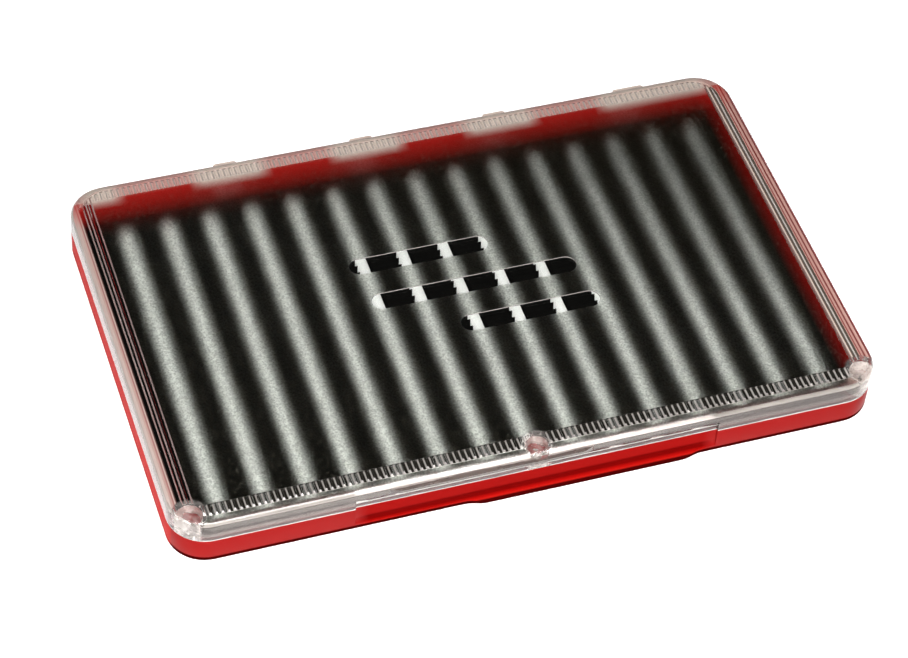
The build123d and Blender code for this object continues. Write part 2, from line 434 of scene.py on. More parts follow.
# %% Wires
class Wire:
    """The output of a node, with arithmetic."""

    def __init__(self, bench, socket):
        self.bench, self.socket = bench, socket

    def __add__(self, other):
        return self.bench.math("ADD", self, other)

    def __sub__(self, other):
        return self.bench.math("SUBTRACT", self, other)

    def __rsub__(self, other):
        return self.bench.math("SUBTRACT", other, self)

    def __mul__(self, other):
        return self.bench.math("MULTIPLY", self, other)

    __radd__, __rmul__ = __add__, __mul__


# %% Benches
class Bench:
    """The nodes of one material, or of the world."""

    def __init__(self, owner):
        owner.use_nodes = True
        self.owner = owner
        self.tree = owner.node_tree
        self.tree.nodes.clear()

    def add(self, kind, settings=None, sockets=None, out=0):
        """Adds a node, sets it, fills its sockets and returns one of its outputs."""
        node = self.tree.nodes.new(kind)
        for key, value in (settings or {}).items():
            setattr(node, key, value)
        for key, value in (sockets or {}).items():
            if isinstance(value, Wire):
                self.tree.links.new(value.socket, node.inputs[key])
            else:
                node.inputs[key].default_value = value
        return Wire(self, node.outputs[out]) if node.outputs else None

    def math(self, operation, *values):
        return self.add("ShaderNodeMath", {"operation": operation}, dict(enumerate(values)))

    def vector(self, operation, *values, out=0):
        return self.add("ShaderNodeVectorMath", {"operation": operation}, dict(enumerate(values)), out)

    def place(self):
        """Where a point lies on the object, in metres."""
        return self.add("ShaderNodeTexCoord", out="Object")

    def axis(self, name):
        """How far along the object's X, Y or Z a point lies."""
        return self.add("ShaderNodeSeparateXYZ", None, {"Vector": self.place()}, out=name)

    def noise(self, scale, detail=2.0, rough=0.5, vector=None):
        sockets = {"Vector": vector or self.place(), "Scale": scale, "Detail": detail, "Roughness": rough}
        return self.add("ShaderNodeTexNoise", None, sockets, out="Fac")

    def stretched_noise(self, scale, detail, rough):
        """Noise with its own scale along each of the object's axes."""
        stretched = self.add("ShaderNodeMapping", None, {"Vector": self.place(), "Scale": scale})
        return self.noise(1.0, detail, rough, stretched)

    def between(self, value, low, high, out_low, out_high):
        """A value stretched from one range to another, and held at its ends."""
        sockets = {"Value": value, 1: low, 2: high, 3: out_low, 4: out_high}
        return self.add("ShaderNodeMapRange", {"clamp": True}, sockets)

    def blend(self, share, first, second):
        """Two colours mixed by a share."""
        sockets = {0: share, 6: first, 7: second}
        return self.add("ShaderNodeMix", {"data_type": "RGBA"}, sockets, out=2)

    def bump(self, height, distance, strength=1.0):
        sockets = {"Height": height, "Distance": distance, "Strength": strength}
        return self.add("ShaderNodeBump", None, sockets)

    def surface(self, shader, output="ShaderNodeOutputMaterial"):
        self.add(output, None, {"Surface": shader})
        return self.owner


def finish_bench(name):
    """A bench for a new material."""
    return Bench(bpy.data.materials.new(name))


# %% [markdown]
# ## Clear plastic
# The whole lid is one clear plastic.  A glass shader alone would look right on a thin sheet,
# but thick moulded rims and ridges bend so many rays that the render stays noisy.  So every
# finish below is a clear shader with a few opaque ones layered over it, each by a mask of its
# place on the object, and those opaque layers are painted light, painted shade and painted
# views of what the plastic bends.  Light from the lamps has to reach the foam through the lid,
# and a lamp can't be found through a bent ray, so lamp rays alone go straight through.

# %% Plastic, and rays that look for a lamp
PLASTIC_IOR = 1.56
LAMP_LOSS = (0.96, 0.96, 0.95, 1.0)
RIM_LAMP_LOSS = (0.45, 0.44, 0.43, 1.0)


def plastic(bench, colour, roughness, clear=0.0, normal=None):
    """Plastic; clear is the share of light that it lets through."""
    sockets = {"Base Color": colour, "Roughness": roughness, "IOR": PLASTIC_IOR, "Transmission Weight": clear}
    if normal:
        sockets["Normal"] = normal
    return bench.add("ShaderNodeBsdfPrincipled", None, sockets)


def dull(bench, colour):
    """A surface with no gloss at all."""
    return bench.add("ShaderNodeBsdfDiffuse", None, {"Color": colour})


def layered(bench, share, under, over):
    """One shader over another, by a share."""
    return bench.add("ShaderNodeMixShader", None, {0: share, 1: under, 2: over})


def lamps_pass(bench, shader, colour):
    """The shader for every ray but those that look for a lamp, which go straight on."""
    straight = bench.add("ShaderNodeBsdfTransparent", None, {"Color": colour})
    lamp_ray = bench.add("ShaderNodeLightPath", out="Is Shadow Ray")
    return layered(bench, lamp_ray, shader, straight)


# %% [markdown]
# ### Clear skin, painted dark and streaks
# The polished skin bends light cleanly, but it isn't perfect: the plastic has flowed, and
# fingers have left smears.  Steep and deep faces bend the dark foam and walls into view, and
# tracing that would take many bounces, so that dark is painted on as a dark plastic instead.

# %% The parts that the finishes share
def clear_skin(bench):
    """Polished plastic with a slight flow and a few smears."""
    flow = bench.noise(90.0, 2.0, 0.4)
    smear = bench.noise(420.0, 4.0, 0.6)
    tint = bench.blend(smear, (0.985, 0.985, 0.98, 1), (0.955, 0.955, 0.95, 1))
    rough = bench.between(smear, 0.35, 0.8, 0.012, 0.05)
    return plastic(bench, tint, rough, 1.0, bench.bump(flow, 0.05 * MM, 0.35))


def painted_dark_view(bench, colour=(0.022, 0.020, 0.016, 1)):
    """The painted dark that stands for what a steep or a deep face bends into view."""
    return plastic(bench, colour, 0.25)


def streaks(bench, scale):
    """Soft streaks from 0 to 1."""
    return bench.between(bench.noise(scale, 4.0, 0.6), 0.3, 0.7, 0, 1)


def banded(bench, height, foot_z, bands, soft):
    """Colours one over the other, each up to its height over foot_z."""
    tint = bands[0][1]
    for (top, _), (_, colour) in zip(bands, bands[1:]):
        edge_z = foot_z + top * MM
        tint = bench.blend(bench.between(height, edge_z - soft, edge_z + soft, 0, 1), tint, colour)
    return tint


# %% [markdown]
# ### Along the hinges
# Along the back the lid shows the tray's red wall, pale where the wall is notched for a hinge
# and the bright floor looks through.  The red could be left to the rays, but under a frosted
# skin it would come out grey, so the view is painted on as a thin layer of its own, and the
# notches are a mask made of the distance from the middle of each.

# %% The painted view over the hinge notches
# painted view: the share of the painted wall layer along the hinges, and the red painted on the clear rim for
# the tray's wall behind it
PAINTED_VIEW_SHARE = 0.62
PAINTED_RED_VIEW = (0.30, 0.050, 0.045, 1)
NOTCHES = [
    # middle x and half width
    (-84.0 * MM, 5.0 * MM),
    (-48.8 * MM, 9.8 * MM),
    (-10.8 * MM, 9.8 * MM),
    (27.2 * MM, 9.8 * MM),
    (72.0 * MM, 16.0 * MM),
]


def by_notch(bench):
    """1 over the tray's hinge notches, where the pale floor shows, and 0 elsewhere."""
    share = 0.0
    for x, half in NOTCHES:
        away = bench.math("ABSOLUTE", bench.axis("X") - x)
        share = bench.math("MAXIMUM", bench.between(away, half - 2.4 * MM, half + 1.8 * MM, 1, 0), share)
    return share


def painted_wall_view(bench):
    """A painted view of what shows along the hinge side: the tray's red wall, but pale over its hinge
    notches.
    """
    across = bench.axis("Y")
    smear = bench.noise(420.0, 4.0, 0.6)
    pale = bench.blend(smear, (0.58, 0.50, 0.44, 1), (0.44, 0.37, 0.33, 1))
    pink = bench.blend(smear, (0.52, 0.31, 0.28, 1), (0.38, 0.22, 0.20, 1))
    over_border = bench.between(across, field_back - 0.1 * MM, field_back + 0.1 * MM, 0, 1)
    near_border = bench.between(across, field_back - 3.4 * MM, field_back - 0.2 * MM, 0, 1)
    at_rim = bench.between(across, HALF_Y - 0.95 * MM, HALF_Y - 0.70 * MM, 0, 1)
    tint = bench.blend(over_border, (0.33, 0.012, 0.009, 1), pink)
    tint = bench.blend(near_border * by_notch(bench), tint, pale)
    tint = bench.blend(at_rim, tint, PAINTED_RED_VIEW)
    return plastic(bench, tint, 0.3)


print("pale places along the hinges:", len(NOTCHES))


# %% [markdown]
# ### Over the catch posts
# A catch post is thick, and thick plastic shrinks as it cools and pulls the skin above it
# into sink marks.  Modelling the dents would cost many small faces, and a bump does the same
# to the light.  A little painted white in the dents stands for the rays that never come out.

# %% The skin over a post
def by_post(bench):
    """1 where the skin lies over a catch post, and 0 elsewhere."""
    share = 0.0
    for x, y, radius in POSTS:
        ground = bench.add("ShaderNodeCombineXYZ", None, {"X": bench.axis("X"), "Y": bench.axis("Y")})
        away = bench.vector("DISTANCE", ground, (x, y, 0.0), out="Value")
        share = bench.math("MAXIMUM", bench.between(away, radius + 0.9 * MM, radius + 1.5 * MM, 1, 0), share)
    return share


def post_skin(bench):
    """Clear plastic over a post, with the sink marks that a thick place gets as it cools, and painted white
    in the dents.
    """
    sink = bench.noise(470.0, 2.0, 0.5)
    tint = bench.blend(bench.between(sink, 0.35, 0.65, 0, 1), (0.96, 0.93, 0.90, 1), (0.80, 0.75, 0.71, 1))
    clear = plastic(bench, tint, 0.06, 1.0, bench.bump(sink, 0.45 * MM, 1.0))
    painted_white = plastic(bench, bench.blend(sink, (0.85, 0.80, 0.77, 1), (0.45, 0.40, 0.37, 1)), 0.2)
    return layered(bench, bench.between(sink, 0.35, 0.65, 0.05, 0.24), clear, painted_white)


# %% [markdown]
# ### The polished plastic
# Most of the lid is polished: its inside, its windows and the floor and crests of the ribbed
# border.  A painted view of the tray's wall lies along the hinges, and painted dark in front.
# At the right the border looks over the pale rim of the tray, so the crests there are painted
# cream and the floors painted dark.

# %% Polished all over
# the share of painted dark in front, and of painted cream and dark at the right of the border
PAINTED_SHARE = 0.8


def polished_plastic():
    """Polished all over, but in the border painted pale along the hinges and painted dark in front and at the
    right.
    """
    bench = finish_bench("polished_clear_plastic")
    across = bench.axis("Y")
    height = bench.axis("Z")
    at_back = bench.between(across, field_back - 0.2 * MM, field_back, 0, PAINTED_VIEW_SHARE)
    at_top = bench.between(height, TOP_Z - 1.6 * MM, TOP_Z - 1.4 * MM, 0, 1)
    at_front = bench.between(across, -field_half.y, -field_half.y + 0.2 * MM, PAINTED_SHARE, 0)
    behind_rim = bench.between(across, -border_half.y - 0.1 * MM, -border_half.y, 0, 1)
    in_border = behind_rim * bench.between(height, TOP_Z - 0.6 * MM, TOP_Z - 0.5 * MM, 0, 1)
    at_right = bench.between(bench.axis("X"), field_half.x, field_half.x + 0.2 * MM, 0, PAINTED_SHARE) * in_border
    on_floor = bench.between(height, TOP_Z - 0.2 * MM, TOP_Z - 0.1 * MM, 1, 0)
    painted_cream = plastic(bench, (0.56, 0.47, 0.40, 1), 0.3)
    shader = layered(bench, at_right, clear_skin(bench), painted_cream)
    shader = layered(bench, at_right * on_floor, shader, painted_dark_view(bench, (0.012, 0.006, 0.005, 1)))
    shader = layered(bench, at_back * at_top, shader, painted_wall_view(bench))
    shader = layered(bench, at_front * in_border, shader, painted_dark_view(bench))
    shader = layered(bench, by_post(bench) * in_border, shader, post_skin(bench))
    return bench.surface(lamps_pass(bench, shader, LAMP_LOSS))


# %% [markdown]
# ### The frosting
# The field's skin copies a mould that sparks have eroded to a fine grain.  It scatters light,
# so what lies close below looks soft and what lies deeper softer still.  The pits could be
# real dents, but there are thousands to the square centimetre.  A rough glass scatters in the
# same way, and the Beckmann kind falls off fast, which keeps the black ribs black.  Noise
# gives the grain its speckle, and a few specks of pale dust lie in it.  Painted shade, a dull
# dark layer, darkens the grain towards the back, most at the back right and by the hinges.

# %% The grain
FROST_PITS = 4600.0
FROST_SPECKLE = 2100.0
FROST_HEIGHT = 0.08 * MM
FROST_ROUGH = 0.28
FROST_DUST = 0.062
# painted shade: how far the dull dark layer darkens the grain towards the back right and near the hinges
FAR_SHADE = 0.60
END_SHADE = 0.7
SPECKLE_LOSS = 0.38


def frost_grain(bench):
    """Spark-eroded grain, coarser towards the hinges, with painted shade that darkens it towards the back."""
    across = bench.axis("Y")
    pits = bench.noise(FROST_PITS, 1.0, 0.5)
    speckle = bench.between(bench.noise(FROST_SPECKLE, 1.0, 0.5), 0.3, 0.7, 0, 1)
    far = bench.between(across + bench.axis("X") * 0.55, 2 * MM, 65 * MM, 0, 0.85)
    end = bench.between(across, field_back - 14 * MM, field_back - 3 * MM, 0, 0.66)
    clear_of_shade_and_speckle = (1 - far * FAR_SHADE) * (1 - end * END_SHADE) * (1 - speckle * SPECKLE_LOSS)
    frost = bench.add("ShaderNodeBsdfGlass", {"distribution": "BECKMANN"}, {
        "Color": (0.985, 1.0, 0.96, 1),
        "Roughness": bench.between(end, 0, 0.66, FROST_ROUGH, FROST_ROUGH * 1.35),
        "IOR": PLASTIC_IOR,
        "Normal": bench.bump(pits, FROST_HEIGHT, 1.0),
    })
    grain = layered(bench, clear_of_shade_and_speckle, dull(bench, (0.004, 0.003, 0.001, 1)), frost)
    specks = bench.between(bench.noise(FROST_SPECKLE, 2.0, 0.6), 0.54, 0.68, 0, FROST_DUST)
    return layered(bench, specks, grain, dull(bench, (0.50, 0.47, 0.38, 1)))


# %% [markdown]
# ### The side strips
# Outside the border the top is a narrow clear strip.  It looks down into the lid's thick
# edge, which draws out everything behind it into lines along the side.  Rays would find them
# only after many bends, so they are bands of colour, each up to its distance from the edge,
# with fine lines drawn out along them by a stretched noise.

# %% The lines along the sides
LEFT_BANDS = [
    # up to this far in from the left edge, in mm, and the colour there
    (1.70, (0.50, 0.42, 0.38, 1)),
    (2.00, (0.34, 0.15, 0.14, 1)),
    (2.35, (0.56, 0.48, 0.43, 1)),
    (9.00, (0.32, 0.17, 0.15, 1)),
]
RIGHT_BANDS = [
    # up to this far in from the right edge, in mm, and the colour there
    (0.80, PAINTED_RED_VIEW),
    (1.20, (0.05, 0.020, 0.018, 1)),
    (2.00, (0.50, 0.39, 0.34, 1)),
    (2.40, (0.05, 0.020, 0.016, 1)),
    (3.00, (0.48, 0.39, 0.34, 1)),
    (3.25, (0.08, 0.02, 0.02, 1)),
    (9.00, (0.52, 0.40, 0.35, 1)),
]


def side_lines(bench, side):
    """The bands along the left and the right edge; side is the distance from the middle."""
    line = bench.between(bench.stretched_noise((1300.0, 9.0, 9.0), 3.0, 0.6), 0.35, 0.65, 0, 1)
    from_edge = HALF_X - side
    at_left = banded(bench, from_edge, 0.0, LEFT_BANDS, 0.1 * MM)
    at_right = banded(bench, from_edge, 0.0, RIGHT_BANDS, 0.08 * MM)
    tint = bench.blend(bench.between(bench.axis("X"), 0, 1 * MM, 0, 1), at_left, at_right)
    return plastic(bench, bench.blend(line * 0.35, tint, (0.20, 0.11, 0.10, 1)), 0.3)


print("bands at the left and right:", len(LEFT_BANDS), len(RIGHT_BANDS))


# %% The frosted field and its sides
def frosted_plastic():
    """Grain over the field, clear with painted lines along the sides, a painted red glow by the right wall,
    and painted pale along the hinges.
    """
    bench = finish_bench("frosted_clear_plastic")
    side = bench.math("ABSOLUTE", bench.axis("X"))
    on_side = bench.between(side, border_half.x - 0.1 * MM, border_half.x + 0.1 * MM, 0, 1)
    by_rim = bench.math(
        "MAXIMUM",
        bench.between(side, HALF_X - 2.7 * MM, HALF_X - 2.3 * MM, 0, 0.66),
        bench.between(bench.axis("X"), border_half.x, border_half.x + 0.1 * MM, 0, 0.88),
    )
    by_wall = bench.between(bench.axis("X"), field_half.x - 4.2 * MM, field_half.x, 0, 0.26)
    at_back = bench.between(bench.axis("Y"), field_back - 9.0 * MM, field_back - 1.0 * MM, 0, PAINTED_VIEW_SHARE)
    painted_red_glow = dull(bench, (0.30, 0.001, 0.002, 1))
    shader = layered(bench, on_side, frost_grain(bench), clear_skin(bench))
    shader = layered(bench, by_rim, shader, side_lines(bench, side))
    shader = layered(bench, by_wall, shader, painted_red_glow)
    shader = layered(bench, at_back, shader, painted_wall_view(bench))
    shader = layered(bench, by_post(bench), shader, post_skin(bench))
    return bench.surface(lamps_pass(bench, shader, LAMP_LOSS))


# %% [markdown]
# ### Ridges and posts
# The slopes of the ridges are too steep to see through, and they gather light from all round.
# They are part clear and part painted pale, with a little painted dark in front, where they
# look at the foam.  The first ridge at the right meets the red glow of the tray's wall, so its
# slope is painted in bands like the strip beyond it.

# %% The slopes of the ridges
SLOPE_BANDS = [
    # up to this far past the field, in mm, and the painted colour on the first ridge there
    (0.56, (0.20, 0.050, 0.045, 1)),
    (0.66, (0.010, 0.003, 0.002, 1)),
    (9.00, (0.30, 0.25, 0.22, 1)),
]


def ridge_plastic():
    """The steep sides of the ridges: painted pale light with some painted dark in it, most of all in front.
    """
    bench = finish_bench("ridge_painted_light")
    streak = streaks(bench, 140.0)
    tint = bench.blend(streak, (0.97, 0.91, 0.87, 1), (0.87, 0.80, 0.76, 1))
    shader = plastic(bench, tint, bench.between(streak, 0, 1, 0.07, 0.16), 0.66)
    at_front = bench.between(bench.axis("Y"), -field_half.y, -field_half.y + 0.2 * MM, 0.32, 0)
    at_back = bench.between(bench.axis("Y"), field_back - 0.2 * MM, field_back, 0, 0.5)
    at_left = bench.between(bench.axis("X"), -field_half.x, -field_half.x + 0.1 * MM, 0.5, 0)
    past_field = bench.axis("X") - field_half.x
    before_second = bench.between(past_field, 0.9 * MM, 1 * MM, 1, 0)
    on_first = bench.between(past_field, 0, 0.1 * MM, 0, 0.8) * before_second
    first = plastic(bench, banded(bench, past_field, 0.0, SLOPE_BANDS, 0.015 * MM), 0.3)
    shader = layered(bench, at_front, shader, painted_dark_view(bench))
    shader = layered(bench, at_back, shader, painted_dark_view(bench, (0.10, 0.085, 0.07, 1)))
    shader = layered(bench, at_left, shader, painted_dark_view(bench, (0.12, 0.03, 0.028, 1)))
    shader = layered(bench, on_first, shader, first)
    return bench.surface(lamps_pass(bench, shader, RIM_LAMP_LOSS))


# %% The sides of the posts
def post_plastic():
    """The round sides of the catch posts: part clear, part painted pale light with darker streaks."""
    bench = finish_bench("post_painted_light")
    streak = streaks(bench, 340.0)
    tint = bench.blend(streak, (0.90, 0.84, 0.80, 1), (0.42, 0.35, 0.32, 1))
    shader = plastic(bench, tint, bench.between(streak, 0, 1, 0.07, 0.16), 0.45)
    return bench.surface(lamps_pass(bench, shader, RIM_LAMP_LOSS))


# %% [markdown]
# ### The rim
# Seen from outside the thick rim shows level bands, pale and dark, one over the other, as it
# bends the tray, the foam and the floor behind it.  They are painted by height, with a wavy
# noise so that they don't look ruled, and the lowest is a painted highlight along the lid's
# foot.  Along the hinges the edge is painted red instead, and the knuckles behind it are
# painted pale.

# %% The lid's outer rim
lid_foot_z = min(v.co.z for v in lid.data.vertices if v.co.x > HALF_X - 0.05 * MM)
RIM_BANDS = [
    # up to this height over the lid's foot, in mm, and the painted colour there
    (0.40, (0.98, 0.95, 0.90, 1)),
    (1.55, (0.15, 0.098, 0.092, 1)),
    (2.85, (0.34, 0.295, 0.27, 1)),
    (5.40, (0.15, 0.130, 0.118, 1)),
    (9.00, (0.52, 0.475, 0.435, 1)),
]


def rim_plastic(name, clear):
    """The lid's rim seen from outside: painted bands one over the other, as it bends what is behind it, and
    painted red near the top at the right.
    """
    bench = finish_bench(name)
    streak = bench.between(bench.stretched_noise((60.0, 60.0, 700.0), 3.0, 0.6), 0.3, 0.7, 0, 1)
    height = bench.axis("Z") + (streak - 0.5) * (0.3 * MM)
    tint = banded(bench, height, lid_foot_z, RIM_BANDS, 0.15 * MM)
    tint = bench.blend(streak * 0.35, tint, (0.09, 0.08, 0.075, 1))
    at_right = bench.between(bench.axis("X"), HALF_X - 1.0 * MM, HALF_X - 0.8 * MM, 0, 1)
    near_top = bench.between(bench.axis("Z"), TOP_Z - 1.2 * MM, TOP_Z - 0.9 * MM, 0, 1)
    tint = bench.blend(at_right * near_top, tint, PAINTED_RED_VIEW)
    shader = plastic(bench, tint, bench.between(streak, 0, 1, 0.07, 0.16), clear)
    shader = layered(bench, by_post(bench), shader, post_skin(bench))
    return bench.surface(lamps_pass(bench, shader, RIM_LAMP_LOSS))


print("lid foot at", round(lid_foot_z / MM, 2), "mm, bands over it:", len(RIM_BANDS))


# %% The edge along the hinges
def back_plastic():
    """The rounded edge along the hinges, painted redder where it turns away, and the knuckles behind it
    painted pale.
    """
    bench = finish_bench("back_painted_view")
    streak = streaks(bench, 140.0)
    turned = bench.between(bench.axis("Z"), TOP_Z - 0.35 * MM, TOP_Z - 0.15 * MM, 1, 0)
    behind = bench.between(bench.axis("Y"), HALF_Y - 0.1 * MM, HALF_Y + 0.1 * MM, 0, 1)
    tint = bench.blend(turned, (0.62, 0.38, 0.34, 1), PAINTED_RED_VIEW)
    tint = bench.blend(behind, tint, (0.62, 0.54, 0.48, 1))
    tint = bench.blend(streak * 0.2, tint, (0.30, 0.16, 0.15, 1))
    shader = plastic(bench, tint, bench.between(streak, 0, 1, 0.10, 0.2), 0.25)
    return bench.surface(lamps_pass(bench, shader, RIM_LAMP_LOSS))


# %% [markdown]
# ## Which face has which finish
# The lid is one mesh with seven finishes.  Picking faces by hand would be lost with the next
# cut, so each finish has a test on a face's place and normal.  The lid starts polished all
# over, and then each test in turn gives its own faces their finish.

# %% Where a face lies
EDGE_REACH = 1.55 * MM
EDGE_TURN = 0.80
LIP_HALF = 48.0 * MM
LIP_DEPTH = 3.2 * MM


def inset(spot):
    """How far a point lies inside the lid's rounded outline."""
    over_x = abs(spot.x) - HALF_X + CORNER_R
    over_y = abs(spot.y) - HALF_Y + CORNER_R
    return CORNER_R - Vector((max(over_x, 0), max(over_y, 0))).length - min(max(over_x, over_y), 0)


def faces_out(face):
    """True for a face of the lid's outside skin, beyond its flat top."""
    spot = face.calc_center_median()
    return inset(spot) < EDGE_REACH and face.normal.x * spot.x + face.normal.y * spot.y > 0


def turns_over(face):
    """True for the rounded edge between the outside walls and the top."""
    return faces_out(face) and 0.05 < face.normal.z < EDGE_TURN


def on_lip(face):
    """True for the sloping lip and the cove over it."""
    spot = face.calc_center_median()
    return abs(spot.x) < LIP_HALF and spot.y < -HALF_Y + LIP_DEPTH and spot.z < TOP_Z - 0.2 * MM


# %% The test for each finish
def is_frosted(face):
    """True for the frosted field and the outermost part of the top, but not for the windows."""
    spot = face.calc_center_median()
    inside = all(abs(v.co.x) < field_half.x + 0.01 * MM for v in face.verts)
    deep = all(-field_half.y - 0.01 * MM < v.co.y < field_back + 0.01 * MM for v in face.verts)
    field = face.normal.z > 0.99 and spot.z > TOP_Z - WINDOW_DEPTH / 2 and inside and deep
    strip = all(inset(v.co) < BORDER_INSET_SIDE + 0.01 * MM for v in face.verts)
    return field or (strip and face.normal.z > EDGE_TURN and spot.z > border_z and not on_lip(face))


def is_edge(face):
    """True for the rounded edge, but not along the hinges, and for the lip."""
    at_back = face.calc_center_median().y > HALF_Y - EDGE_REACH
    return (turns_over(face) and not at_back) or (on_lip(face) and face.normal.z > 0.05)


def is_wall(face):
    """True for the upright walls seen from outside."""
    return faces_out(face) and abs(face.normal.z) < 0.05


def is_slope(face):
    """True for the sloping sides of the ridges and of the windows, but not those facing right."""
    spot = face.calc_center_median()
    steep = border_z < spot.z < TOP_Z - 0.01 * MM and 0.1 < face.normal.z < 0.98
    return steep and face.normal.x < 0.3 and inset(spot) > EDGE_REACH


def is_post(face):
    """True for the round sides and the foot of a catch post inside the lid."""
    spot = face.calc_center_median()
    near = any((spot.x - x) ** 2 + (spot.y - y) ** 2 < (radius + 0.1 * MM) ** 2 for x, y, radius in POSTS)
    return near and face.normal.z < 0.1 and not faces_out(face)


def is_back(face):
    """True for the rounded edge along the hinges and for the hinge knuckles behind it."""
    spot = face.calc_center_median()
    return (turns_over(face) and spot.y > HALF_Y - EDGE_REACH) or spot.y > HALF_Y + 0.05 * MM


# %% The lid's finishes
lid.data.materials.append(polished_plastic())
LID_FINISHES = [
    (frosted_plastic(), is_frosted),
    (rim_plastic("edge_painted_view", 0.45), is_edge),
    (rim_plastic("wall_painted_view", 0.62), is_wall),
    (ridge_plastic(), is_slope),
    (post_plastic(), is_post),
    (back_plastic(), is_back),
]
for slot, (finish, wanted) in enumerate(LID_FINISHES, 1):
    lid.data.materials.append(finish)
    found = select(lid, "FACE", wanted)
    lid.active_material_index = slot
    bpy.ops.object.material_slot_assign()
    leave_edit_mode()
    print(finish.name, "faces:", found)

# %% [markdown]
# ## Red plastic
# The tray is a glossy, evenly coloured moulding.  One principled shader would do for most of
# it.  But the deep gap round the foam gets painted shade, the sloping opening lip gets painted
# bands of shade where it turns from the light, the foot stands in a thin painted shadow line,
# and the left wall is painted lighter.  Each of these is a mask by height or by distance from
# the outline, so that it stays where it is from every side.

# %% The tray's colours
LIP_BANDS = [
    # up to this height on the lip, in mm, and the painted shading colour there
    (1.35, (0.050, 0.001, 0.001, 1)),
    (1.95, (0.330, 0.014, 0.009, 1)),
    (2.60, (0.250, 0.003, 0.002, 1)),
    (4.30, (0.125, 0.0006, 0.0004, 1)),
    (9.00, (0.215, 0.006, 0.005, 1)),
]


def inside_walls(bench):
    """1 inside the tray's walls and 0 in them, by the distance past the corners' middles."""
    flat = bench.add("ShaderNodeCombineXYZ", None, {"X": bench.axis("X"), "Y": bench.axis("Y")})
    over = bench.vector("SUBTRACT", bench.vector("ABSOLUTE", flat), (HALF_X - CORNER_R, HALF_Y - CORNER_R, 0))
    past = bench.vector("LENGTH", bench.vector("MAXIMUM", over, (0, 0, 0)), out="Value")
    return bench.between(past, CORNER_R - 1.0 * MM, CORNER_R - 0.8 * MM, 1, 0)


def red_skin(bench):
    """Glossy red, with painted shade in the deep gap round the foam."""
    cloud = bench.noise(55.0, 3.0, 0.5)
    skin = bench.between(bench.noise(160.0, 2.0, 0.5), 0.3, 0.7, 0, 1)
    deep = bench.between(bench.axis("Z"), 2.5 * MM, 7.5 * MM, 0.9, 0)
    tint = bench.blend(cloud, (0.225, 0.007, 0.006, 1), (0.21, 0.006, 0.005, 1))
    return bench.add("ShaderNodeBsdfPrincipled", None, {
        "Base Color": bench.blend(inside_walls(bench) * deep, tint, (0.02, 0.003, 0.002, 1)),
        "Roughness": bench.between(skin, 0, 1, 0.36, 0.42),
        "IOR": 1.4,
        "Specular IOR Level": 0.15,
    })


# %% The red plastic
def red_plastic():
    """The red skin, with painted shading bands on the lip, painted lighter on the left wall and a painted
    shadow where the foot stands.
    """
    bench = finish_bench("red_moulded_plastic")
    height = bench.axis("Z")
    along = bench.math("ABSOLUTE", bench.axis("X"))
    at_front = bench.between(bench.axis("Y"), -HALF_Y + 1.2 * MM, -HALF_Y + 1.4 * MM, 1, 0)
    at_lip = bench.between(along, LIP_HALF - 4.0 * MM, LIP_HALF - 1.0 * MM, 1, 0) * at_front
    # painted shadow: a thin dark line where the foot stands on the floor
    at_foot = bench.between(height, 1.7 * MM, 1.95 * MM, 1, 0)
    # painted light: the left wall is painted a lighter red, as if more light fell on it
    at_left = bench.between(bench.axis("X"), -HALF_X + 0.25 * MM, -HALF_X + 0.6 * MM, 0.6, 0)
    painted_lip_shade = bench.add("ShaderNodeBsdfPrincipled", None, {
        "Base Color": banded(bench, height, 0.0, LIP_BANDS, 0.3 * MM),
        "Roughness": 0.6,
        "Specular IOR Level": 0.02,
    })
    shader = layered(bench, at_lip, red_skin(bench), painted_lip_shade)
    shader = layered(bench, at_foot, shader, dull(bench, (0.045, 0.001, 0.001, 1)))
    shader = layered(bench, at_left, shader, dull(bench, (0.46, 0.040, 0.036, 1)))
    return bench.surface(shader)


tray.data.materials.append(red_plastic())
print("tray finish:", tray.data.materials[0].name)


# %% [markdown]
# ## Foam
# Both foams are closed-cell: dull, with tiny cells that only show close up.  The cells could
# never be modelled, so a Voronoi pattern dents the surface and paints shade into the bottom of
# each cell, and a slow noise keeps the colour from being too even.

# %% The two foams
def foam(name, dark, light, cell, gloss):
    """Closed cells, this many to the metre."""
    bench = finish_bench(name)
    cell_sockets = {"Vector": bench.place(), "Scale": cell}
    cells = bench.add("ShaderNodeTexVoronoi", {"feature": "F1"}, cell_sockets, out="Distance")
    patch = bench.noise(260.0, 3.0, 0.6)
    return bench.surface(bench.add("ShaderNodeBsdfPrincipled", None, {
        "Base Color": bench.blend(bench.between(cells * 0.6 + patch * 0.4, 0.2, 0.7, 0, 1), dark, light),
        "Roughness": bench.between(patch, 0.3, 0.7, 0.78, 0.95),
        "Specular IOR Level": gloss,
        "Normal": bench.bump(cells, 0.12 * MM, 0.6),
    }))


BLACKS = ((0.0010, 0.0010, 0.0008, 1), (0.0070, 0.0066, 0.0058, 1))
WHITES = ((0.90, 0.93, 0.90, 1), (0.97, 0.98, 0.96, 1))
black_foam = foam("black_slit_foam", *BLACKS, 5200.0, 0.0)
sheet.data.materials.append(foam("white_backing_foam", *WHITES, 4200.0, 0.2))
for rib in ribs:
    rib.data.materials.append(black_foam)
print("foam pieces:", len(ribs) + 1)


# %% [markdown]
# ## Steel
# The hinge pins are drawn wire, and a drawing die leaves fine lines along it.  They are a
# noise squeezed hard across the wire and left long along it.  The pins are round already, so
# the nodes themselves get the material and nothing is modelled.

